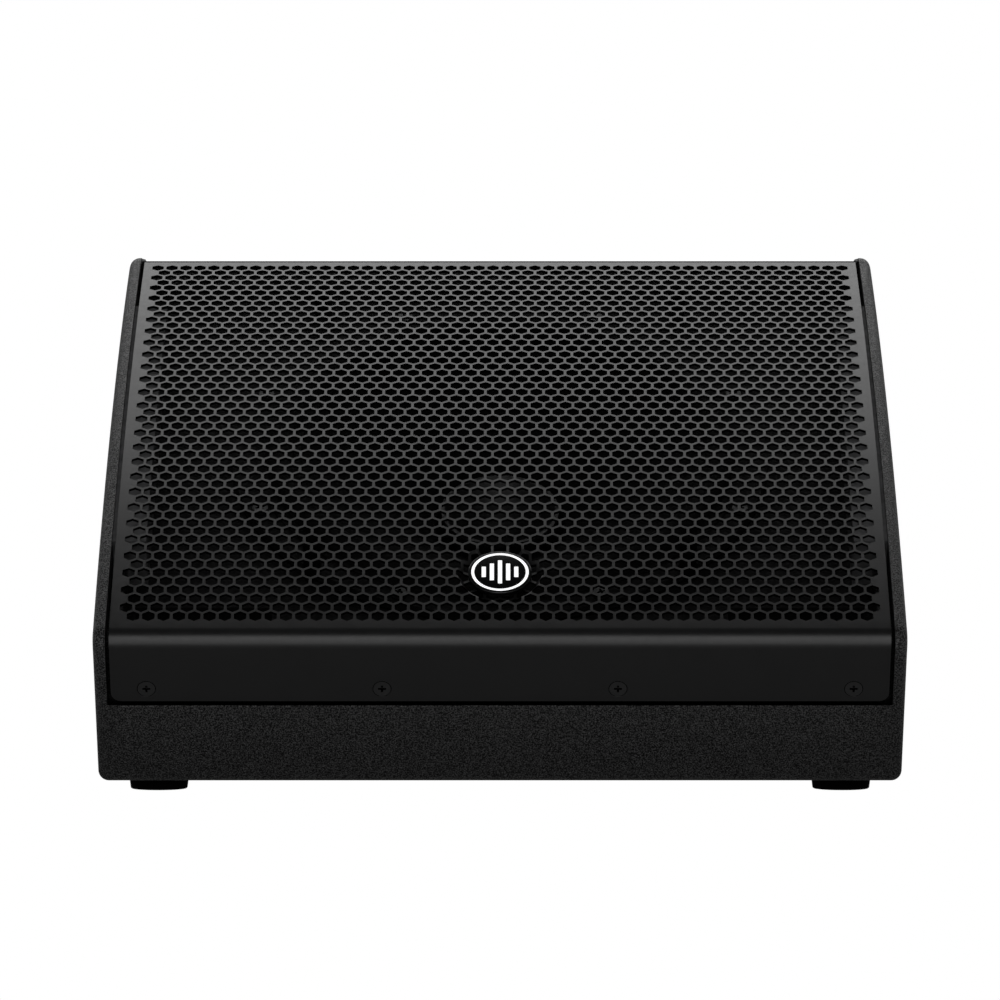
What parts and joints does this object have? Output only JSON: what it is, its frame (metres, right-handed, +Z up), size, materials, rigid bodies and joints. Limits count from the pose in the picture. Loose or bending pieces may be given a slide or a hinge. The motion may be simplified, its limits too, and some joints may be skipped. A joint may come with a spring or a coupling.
{
  "type": "stage monitor wedge",
  "caption": "Low wedge-shaped stage loudspeaker with a curved perforated grille, coaxial driver, side handle, pole socket and recessed rear amplifier.",
  "frame": {"origin": "on the floor under the centre of the bounding box", "axes": "+Z up, the grille faces -Y, +X to the right when the grille is seen from in front"},
  "size_m": [0.457, 0.41, 0.308],
  "materials": {
    "cabinet_paint": "coarse sprayed textured paint on plywood",
    "baffle_paint": "flat black paint on plywood",
    "panel_paint": "black powder coat on pressed steel",
    "coil_former": "dark heat-resistant former and winding",
    "raw_wood": "unpainted softwood",
    "grille_paint": "semi-matt powder coat on perforated steel",
    "black_screw": "black zinc plated steel",
    "brass": "turned brass",
    "black_rubber": "matt moulded rubber",
    "grey_pad": "smooth grey foam rubber",
    "black_plastic": "moulded black plastic",
    "gloss_black": "gloss black plastic",
    "white_print": "white enamel",
    "bright_steel": "zinc plated steel",
    "cast_alloy": "black powder coated cast aluminium",
    "heat_sink_alloy": "black anodised extruded aluminium",
    "surround_rubber": "sealed half-roll edge",
    "cone_paper": "coated pulp cone",
    "copper": "enamelled copper winding",
    "spider_cloth": "resin dipped cotton",
    "ferrite": "sintered magnet",
    "circuit_board": "green solder mask",
    "capacitor_sleeve": "shrink sleeve",
    "satin_nickel": "satin nickel",
    "grey_button": "moulded grey plastic",
    "green_lens": "translucent lens"
  },
  "bodies": {
    "cabinet": {"side_panel_left": "cabinet_paint", "side_panel_right": "cabinet_paint", "top_panel": "cabinet_paint", "bottom_panel": "cabinet_paint", "rear_panel": "cabinet_paint", "kick_panel": "cabinet_paint", "baffle": "baffle_paint", "port_duct_left": "black_plastic", "port_duct_right": "black_plastic", "corner_battens": "raw_wood", "grille": "grille_paint", "grille_screws": "black_screw", "grille_inserts": "brass", "grille_posts": "black_rubber", "side_pad_left": "grey_pad", "side_pad_right": "grey_pad", "foot_front_left": "black_rubber", "foot_front_right": "black_rubber", "foot_rear_left": "black_rubber", "foot_rear_right": "black_rubber", "foot_screws": "bright_steel", "handle_cup": "black_plastic", "handle_screws": "black_screw", "pole_socket": "black_plastic", "pole_socket_screws": "black_screw", "basket": "cast_alloy", "driver_gasket": "black_rubber", "surround": "surround_rubber", "spider": "spider_cloth", "magnet": "ferrite", "top_plate": "bright_steel", "pole_yoke": "bright_steel", "hf_horn": "black_plastic", "compression_driver": "cast_alloy", "driver_bolts": "black_screw", "amp_panel": "panel_paint", "amp_panel_screws": "black_screw", "heat_sink": "heat_sink_alloy", "amp_board": "circuit_board", "power_capacitors": "capacitor_sleeve", "transformer": "copper", "input_jack_1": "black_plastic", "input_jack_2": "black_plastic", "link_output": "black_plastic", "level_pots": "bright_steel", "switch_housing": "black_plastic", "ac_inlet": "black_plastic", "status_lights": "green_lens", "jack_screws": "satin_nickel"},
    "cone_assembly": {"cone": "cone_paper", "voice_coil": "coil_former"},
    "badge": {"badge_disc": "gloss_black", "badge_emblem": "white_print", "badge_clip": "bright_steel"},
    "knob_1": {"level_knob_1": "gloss_black"},
    "knob_2": {"level_knob_2": "gloss_black"},
    "button": {"contour_button": "grey_button"},
    "rocker": {"power_rocker": "gloss_black"},
    "latch_1": {"jack_latch_1": "satin_nickel"},
    "latch_2": {"jack_latch_2": "satin_nickel"}
  },
  "joints": [
    {"name": "cone_travel", "type": "slide", "parent": "cabinet", "child": "cone_assembly", "axis": [0, -0.5664, 0.8241], "range_m": [-0.005, 0.005], "stiffness_N_per_m": 4000, "deforming": ["surround", "spider"]},
    {"name": "badge_turn", "type": "hinge", "parent": "cabinet", "child": "badge", "pos_m": [0, -0.16392, 0.12532], "axis": [0, -0.6219, 0.7831], "range_deg": [-90, 90]},
    {"name": "level_knob_1_turn", "type": "hinge", "parent": "cabinet", "child": "knob_1", "pos_m": [0.11, 0.189, 0.092], "axis": [0, 1, 0], "range_deg": [-150, 150]},
    {"name": "level_knob_2_turn", "type": "hinge", "parent": "cabinet", "child": "knob_2", "pos_m": [0.07, 0.189, 0.092], "axis": [0, 1, 0], "range_deg": [-150, 150]},
    {"name": "contour_button_press", "type": "slide", "parent": "cabinet", "child": "button", "axis": [0, 1, 0], "range_m": [-0.0015, 0], "stiffness_N_per_m": 400, "springref_m": 0.001},
    {"name": "power_rocker_tilt", "type": "hinge", "parent": "cabinet", "child": "rocker", "pos_m": [-0.062, 0.185, 0.11], "axis": [1, 0, 0], "range_deg": [0, 18]},
    {"name": "jack_latch_1_press", "type": "slide", "parent": "cabinet", "child": "latch_1", "axis": [0, 1, 0], "range_m": [-0.002, 0], "stiffness_N_per_m": 400, "springref_m": 0.001},
    {"name": "jack_latch_2_press", "type": "slide", "parent": "cabinet", "child": "latch_2", "axis": [0, 1, 0], "range_m": [-0.002, 0], "stiffness_N_per_m": 400, "springref_m": 0.001}
  ]
}
